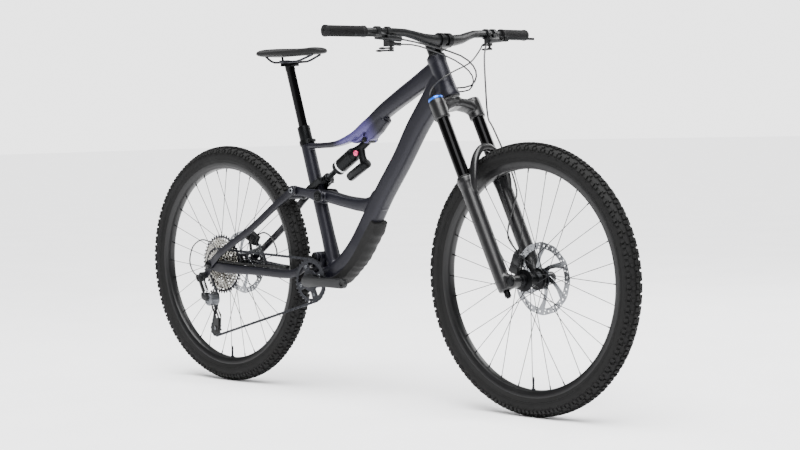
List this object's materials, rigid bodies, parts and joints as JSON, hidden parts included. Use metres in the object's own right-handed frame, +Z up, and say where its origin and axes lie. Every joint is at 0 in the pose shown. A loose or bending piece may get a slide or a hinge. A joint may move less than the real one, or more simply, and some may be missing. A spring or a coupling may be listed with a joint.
{
  "type": "mountain bike",
  "caption": "Full-suspension trail bike with telescopic fork, rocker-driven rear shock, dropper seatpost, disc brakes and a single-ring drivetrain.",
  "frame": {"origin": "on the ground, midway between the two axles, in the bike's centre plane", "axes": "+X forward, +Y to the rider's left, +Z up"},
  "size_m": [2.024, 0.8092, 1.07],
  "materials": {
    "frame_paint_bright": "satin metallic, violet",
    "frame_paint_dark": "satin metallic, slate violet",
    "gloss_black": "gloss",
    "anodised_black": "satin anodised",
    "anodised_grey": "satin anodised",
    "anodised_blue": "gloss anodised",
    "anodised_pink": "gloss anodised",
    "silver_steel": "brushed",
    "spoke_black": "satin",
    "tyre_rubber": "matt",
    "grip_rubber": "matt",
    "hose_black": "satin",
    "guard_rubber": "matt",
    "moulded_black": "satin",
    "saddle_cover": "matt"
  },
  "bodies": {
    "frame": {"head_tube": "frame_paint_bright", "top_tube": "frame_paint_bright", "down_tube": "frame_paint_dark", "seat_tube": "frame_paint_bright", "frame_bearings": "anodised_black", "frame_pivots": "anodised_black", "downtube_guard": "guard_rubber", "dropper_outer": "anodised_black", "seat_clamp": "anodised_black"},
    "steering": {"fork_crown": "anodised_black", "fork_stanchions": "gloss_black", "stem": "anodised_black", "handlebar": "anodised_black", "grips": "grip_rubber", "brake_lever_bodies": "anodised_grey", "remote_bodies": "moulded_black", "control_cables": "hose_black"},
    "damper_dial": {"damper_dial": "anodised_blue"},
    "fork_lower": {"fork_lowers": "gloss_black", "front_axle": "anodised_black", "front_caliper": "anodised_black"},
    "rebound_knob": {"rebound_knob": "anodised_black"},
    "front_wheel": {"front_tyre": "tyre_rubber", "front_rim": "anodised_black", "front_spokes": "spoke_black", "front_hub": "anodised_black", "front_rotor": "silver_steel"},
    "rear_wheel": {"rear_tyre": "tyre_rubber", "rear_rim": "anodised_black", "rear_spokes": "spoke_black", "rear_hub": "anodised_black", "rear_rotor": "silver_steel"},
    "cassette": {"cassette": "silver_steel"},
    "swingarm": {"chainstays": "frame_paint_dark", "rear_axle": "anodised_black", "rear_caliper": "anodised_black", "chain": "silver_steel", "rear_cables": "hose_black", "derailleur_base": "anodised_black"},
    "seatstay": {"seatstays": "frame_paint_dark"},
    "rocker": {"rocker_link": "frame_paint_bright"},
    "shock_body": {"shock_body": "gloss_black"},
    "shock_shaft": {"shock_shaft": "anodised_black"},
    "shock_knob": {"shock_knob": "anodised_pink"},
    "crank": {"crank_arms": "anodised_grey", "chainring": "anodised_grey"},
    "seat": {"dropper_post": "gloss_black", "saddle": "saddle_cover", "saddle_rails": "spoke_black"},
    "brake_lever_right": {"brake_lever_right": "anodised_black"},
    "brake_lever_left": {"brake_lever_left": "anodised_black"},
    "shift_paddle": {"shift_paddle": "moulded_black"},
    "release_paddle": {"release_paddle": "moulded_black"},
    "dropper_paddle": {"dropper_paddle": "moulded_black"},
    "derailleur_outer_link": {"derailleur_outer_link": "anodised_grey"},
    "derailleur_inner_link": {"derailleur_inner_link": "silver_steel"},
    "derailleur_knuckle": {"derailleur_knuckle": "anodised_black"},
    "derailleur_cage": {"derailleur_cage": "anodised_black"},
    "guide_pulley": {"guide_pulley": "moulded_black"},
    "tension_pulley": {"tension_pulley": "moulded_black"}
  },
  "joints": [
    {"name": "steering", "type": "hinge", "parent": "frame", "child": "steering", "pos_m": [0.60035, 0, 0.35292], "axis": [-0.4337, 0, 0.9011], "range_deg": [-60, 60], "deforming": ["control_cables"]},
    {"name": "fork", "type": "slide", "parent": "steering", "child": "fork_lower", "axis": [-0.4337, 0, 0.9011], "range_m": [0, 0.15], "stiffness_N_per_m": 6000, "springref_m": -0.02},
    {"name": "front_wheel_spin", "type": "hinge", "parent": "fork_lower", "child": "front_wheel", "pos_m": [0.64, 0, 0.372], "axis": [0, 1, 0], "continuous": true},
    {"name": "damper_dial_turn", "type": "hinge", "parent": "steering", "child": "damper_dial", "pos_m": [0.36121, -0.07, 0.86596], "axis": [-0.4337, 0, 0.9011], "range_deg": [0, 90]},
    {"name": "rebound_knob_turn", "type": "hinge", "parent": "fork_lower", "child": "rebound_knob", "pos_m": [0.61533, -0.07, 0.33793], "axis": [-0.4337, 0, 0.9011], "range_deg": [-180, 180]},
    {"name": "rear_suspension", "type": "hinge", "parent": "frame", "child": "swingarm", "pos_m": [-0.19532, 0, 0.408], "axis": [0, 1, 0], "range_deg": [0, 17], "stiffness_Nm_per_rad": 2500, "springref_deg": -1.15, "deforming": ["chain", "rear_cables"]},
    {"name": "seatstay_pivot", "type": "hinge", "parent": "swingarm", "child": "seatstay", "pos_m": [-0.64, 0, 0.372], "axis": [0, 1, 0], "range_deg": [-7.72, 0]},
    {"name": "rocker_pivot", "type": "hinge", "parent": "frame", "child": "rocker", "pos_m": [-0.17632, 0, 0.591], "axis": [0, 1, 0], "range_deg": [0, 44.8]},
    {"name": "shock_eye", "type": "hinge", "parent": "frame", "child": "shock_body", "pos_m": [0.01968, 0, 0.757], "axis": [0, 1, 0], "range_deg": [0, 6.48]},
    {"name": "shock_stroke", "type": "slide", "parent": "shock_body", "child": "shock_shaft", "axis": [0.8558, 0, 0.5173], "range_m": [0, 0.04439]},
    {"name": "shock_knob_turn", "type": "hinge", "parent": "shock_body", "child": "shock_knob", "pos_m": [-0.02203, 0, 0.71776], "axis": [0, 1, 0], "range_deg": [-150, 150]},
    {"name": "crank_spin", "type": "hinge", "parent": "frame", "child": "crank", "pos_m": [-0.20132, 0, 0.338], "axis": [0, 1, 0], "continuous": true},
    {"name": "cassette_spin", "type": "hinge", "parent": "swingarm", "child": "cassette", "pos_m": [-0.64, 0, 0.372], "axis": [0, 1, 0], "continuous": true},
    {"name": "rear_wheel_spin", "type": "hinge", "parent": "swingarm", "child": "rear_wheel", "pos_m": [-0.64, 0, 0.372], "axis": [0, 1, 0], "continuous": true},
    {"name": "guide_pulley_spin", "type": "hinge", "parent": "derailleur_cage", "child": "guide_pulley", "pos_m": [-0.664, 0, 0.266], "axis": [0, 1, 0], "continuous": true},
    {"name": "tension_pulley_spin", "type": "hinge", "parent": "derailleur_cage", "child": "tension_pulley", "pos_m": [-0.654, 0, 0.168], "axis": [0, 1, 0], "continuous": true},
    {"name": "dropper", "type": "slide", "parent": "frame", "child": "seat", "axis": [-0.2912, 0, 0.9567], "range_m": [-0.175, 0]},
    {"name": "right_brake_lever", "type": "hinge", "parent": "steering", "child": "brake_lever_right", "pos_m": [0.33264, -0.25196, 1.03841], "axis": [0, 0, 1], "range_deg": [-14, 0], "stiffness_Nm_per_rad": 1.2, "springref_deg": 2.86},
    {"name": "left_brake_lever", "type": "hinge", "parent": "steering", "child": "brake_lever_left", "pos_m": [0.33264, 0.25196, 1.03841], "axis": [0, 0, 1], "range_deg": [0, 14], "stiffness_Nm_per_rad": 1.2, "springref_deg": -2.86},
    {"name": "shift_lever", "type": "hinge", "parent": "steering", "child": "shift_paddle", "pos_m": [0.31966, -0.1967, 1.02596], "axis": [0, 0, 1], "range_deg": [0, 22], "stiffness_Nm_per_rad": 0.4, "springref_deg": -2.86},
    {"name": "shift_release", "type": "hinge", "parent": "steering", "child": "release_paddle", "pos_m": [0.31966, -0.1967, 1.02596], "axis": [0, 0, 1], "range_deg": [0, 10], "stiffness_Nm_per_rad": 0.4, "springref_deg": -2.86},
    {"name": "dropper_lever", "type": "hinge", "parent": "steering", "child": "dropper_paddle", "pos_m": [0.31966, 0.1967, 1.02596], "axis": [0, 0, 1], "range_deg": [-22, 0], "stiffness_Nm_per_rad": 0.4, "springref_deg": 2.86},
    {"name": "derailleur_shift", "type": "hinge", "parent": "swingarm", "child": "derailleur_outer_link", "pos_m": [-0.67, -0.1005, 0.326], "axis": [0.8944, 0, 0.4472], "range_deg": [-12, 12]},
    {"name": "derailleur_inner", "type": "hinge", "parent": "swingarm", "child": "derailleur_inner_link", "pos_m": [-0.67, -0.0865, 0.326], "axis": [0.8944, 0, 0.4472], "range_deg": [-12.05, 12.05]},
    {"name": "derailleur_knuckle_turn", "type": "hinge", "parent": "derailleur_outer_link", "child": "derailleur_knuckle", "pos_m": [-0.652, -0.1005, 0.29], "axis": [0.8944, 0, 0.4472], "range_deg": [-12.05, 12.05]},
    {"name": "derailleur_cage_swing", "type": "hinge", "parent": "derailleur_knuckle", "child": "derailleur_cage", "pos_m": [-0.64, 0, 0.262], "axis": [0, 1, 0], "range_deg": [-38, 0], "stiffness_Nm_per_rad": 0.25, "springref_deg": 22.92}
  ],
  "couplings": [
    {"joint": "seatstay_pivot", "follows": "rear_suspension", "ratio": -0.45149},
    {"joint": "rocker_pivot", "follows": "rear_suspension", "ratio": 2.6321},
    {"joint": "shock_eye", "follows": "rear_suspension", "ratio": 0.37841},
    {"joint": "shock_stroke", "follows": "rear_suspension", "m_per_rad": 0.14894},
    {"joint": "cassette_spin", "follows": "crank_spin", "ratio": 1.3333},
    {"joint": "guide_pulley_spin", "follows": "crank_spin", "ratio": -2.9091},
    {"joint": "tension_pulley_spin", "follows": "crank_spin", "ratio": 2.9091},
    {"joint": "derailleur_inner", "follows": "derailleur_shift", "ratio": 1},
    {"joint": "derailleur_knuckle_turn", "follows": "derailleur_shift", "ratio": -1}
  ]
}
